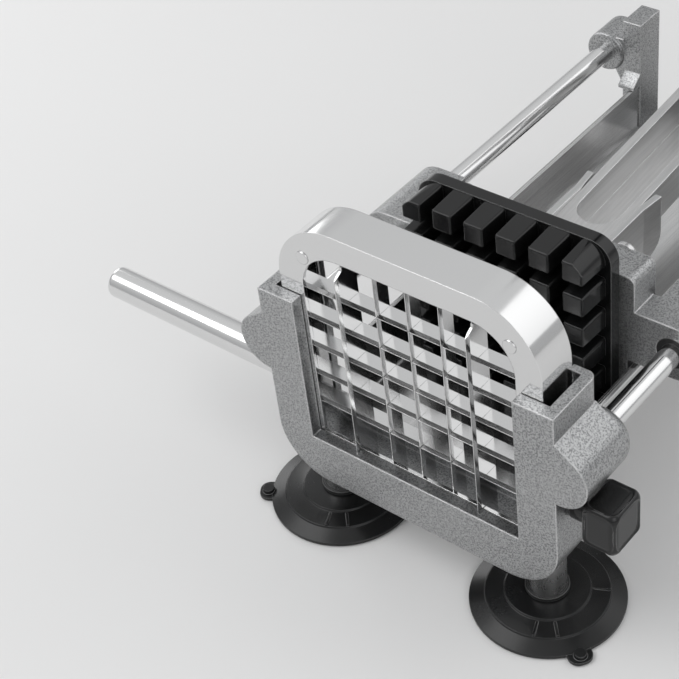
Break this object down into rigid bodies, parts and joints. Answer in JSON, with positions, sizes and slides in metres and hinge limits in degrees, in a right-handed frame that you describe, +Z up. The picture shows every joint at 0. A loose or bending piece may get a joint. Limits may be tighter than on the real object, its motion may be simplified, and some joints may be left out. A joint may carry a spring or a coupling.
{
  "type": "french fry cutter",
  "caption": "Bench-top potato chip cutter: suction feet, cast end frames on guide rods, lift-out blade grid and a push block driven by a hand lever.",
  "frame": {"origin": "on the table plane, in the left-right middle, below the front face of the front casting", "axes": "+Z up, +Y from the blades towards the lever at the rear, +X to the right seen from the blade end"},
  "size_m": [0.2245, 0.2778, 0.3224],
  "materials": {
    "cast_silver": "cast, hammered grey-silver coat with bright rubbed edges",
    "chromed_rod": "polished chrome plate",
    "stainless_sheet": "bright stainless sheet",
    "brushed_stainless": "brushed stainless",
    "polished_stainless": "polished stainless, folded",
    "blade_steel": "ground and sharpened stainless",
    "steel_fastener": "zinc plate",
    "black_plastic": "moulded, glossy",
    "black_nylon": "moulded nylon",
    "black_grip": "soft moulded grip",
    "black_rubber": "smooth rubber"
  },
  "bodies": {
    "base": {"front_casting": "cast_silver", "rear_casting": "cast_silver", "guide_rods": "chromed_rod", "rod_set_screws": "steel_fastener", "trough": "stainless_sheet", "trough_screws": "steel_fastener", "foot_stems": "steel_fastener", "foot_collars": "black_nylon", "suction_cups": "black_rubber", "side_bar": "chromed_rod", "lever_shaft": "steel_fastener", "shaft_nut": "steel_fastener", "pivot_washers": "black_nylon"},
    "cartridge": {"blade_ring": "polished_stainless", "ring_rivets": "polished_stainless", "vertical_blades": "blade_steel", "horizontal_blades": "blade_steel"},
    "carriage": {"push_plate": "black_plastic", "push_pins": "black_plastic", "block_screws": "steel_fastener", "carriage_casting": "cast_silver", "rod_bushes": "black_nylon", "push_arm": "brushed_stainless", "arm_brackets": "brushed_stainless", "bracket_screws": "steel_fastener", "arm_bolts": "steel_fastener", "cross_pin": "steel_fastener", "pin_clips": "steel_fastener"},
    "lever": {"lever_plates": "brushed_stainless", "lever_hub": "steel_fastener", "handle_tube": "chromed_rod", "handle_grip": "black_grip", "lever_bolts": "steel_fastener"},
    "clamp_screw": {"clamp_screw": "steel_fastener"},
    "clamp_knob": {"clamp_knob": "black_plastic"}
  },
  "joints": [
    {"name": "lever_swing", "type": "hinge", "parent": "base", "child": "lever", "pos_m": [0, 0.252, 0.026], "axis": [-1, 0, 0], "range_deg": [-21.19, 46.45]},
    {"name": "carriage_slide", "type": "slide", "parent": "base", "child": "carriage", "axis": [0, 1, 0], "range_m": [-0.0365, 0.08]},
    {"name": "cartridge_lift", "type": "slide", "parent": "base", "child": "cartridge", "axis": [0, 0, 1], "range_m": [0, 0.075]},
    {"name": "clamp_travel", "type": "slide", "parent": "base", "child": "clamp_screw", "axis": [1, 0, 0], "range_m": [0, 0.00225]},
    {"name": "clamp_turn", "type": "hinge", "parent": "clamp_screw", "child": "clamp_knob", "pos_m": [0.07075, 0.0112, 0.0565], "axis": [1, 0, 0], "range_deg": [0, 648.5]}
  ],
  "couplings": [
    {"joint": "carriage_slide", "follows": "lever_swing", "m_per_rad": 0.098684},
    {"joint": "clamp_turn", "follows": "clamp_travel", "rad_per_m": 5026.5}
  ]
}
